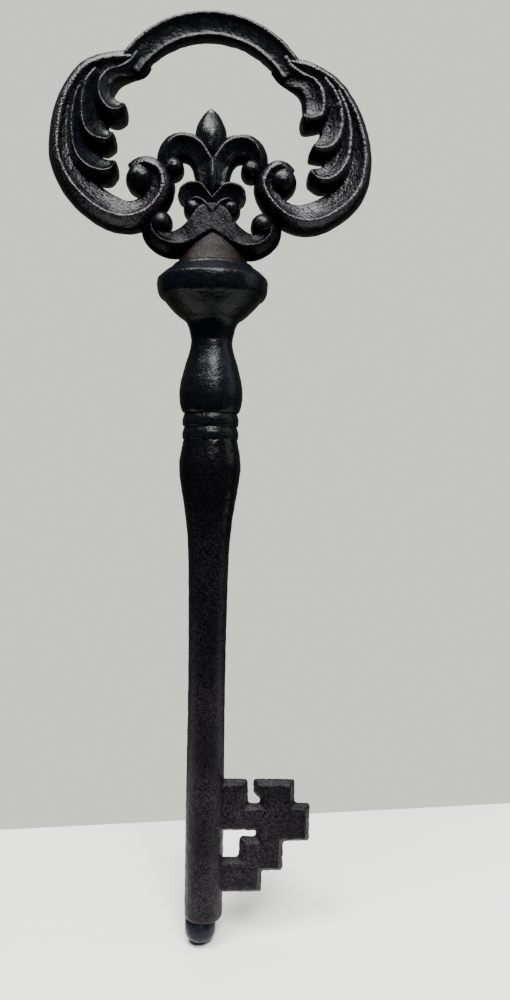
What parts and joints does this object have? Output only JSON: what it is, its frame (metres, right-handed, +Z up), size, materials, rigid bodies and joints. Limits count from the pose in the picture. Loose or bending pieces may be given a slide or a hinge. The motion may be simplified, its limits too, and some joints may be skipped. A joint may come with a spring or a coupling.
{
  "type": "decorative skeleton key",
  "caption": "Large upright skeleton key: arched openwork bow with scrolled lobes, leaves and fleur-de-lis, turned collar and baluster, long round shank, stepped flat bit",
  "frame": {"origin": "the point inside the top of the bow's arch, on its middle plane, where a hook carries the key", "axes": "+Z up along the shank from the tip towards the bow, +X towards the bit, the front faces -Y"},
  "size_m": [0.1345, 0.0464, 0.3917],
  "materials": {
    "black_iron": "satin black paint",
    "brown_iron": "matte brown-black, grainy",
    "rust_iron": "matte brown, worn",
    "blue_iron": "satin blue-black, smooth"
  },
  "bodies": {
    "root": {"tip": "blue_iron", "shank": "brown_iron", "bit": "brown_iron", "lower_reed": "black_iron", "upper_reed": "black_iron", "baluster": "black_iron", "collar": "black_iron", "bow_root": "rust_iron", "left_foot_scroll": "black_iron", "right_foot_scroll": "black_iron", "left_foot_ball": "black_iron", "right_foot_ball": "black_iron", "left_small_leaf": "black_iron", "right_small_leaf": "black_iron", "left_small_ball": "black_iron", "right_small_ball": "black_iron", "bud": "black_iron", "left_petal": "black_iron", "right_petal": "black_iron", "left_petal_ball": "black_iron", "right_petal_ball": "black_iron", "centre_petal": "black_iron", "left_lobe": "black_iron", "right_lobe": "black_iron", "left_volute_ball": "black_iron", "right_volute_ball": "black_iron", "left_leaf_top": "black_iron", "left_leaf_middle": "black_iron", "left_leaf_low": "black_iron", "right_leaf_top": "black_iron", "right_leaf_middle": "black_iron", "right_leaf_low": "black_iron", "arch": "black_iron"}
  },
  "joints": []
}
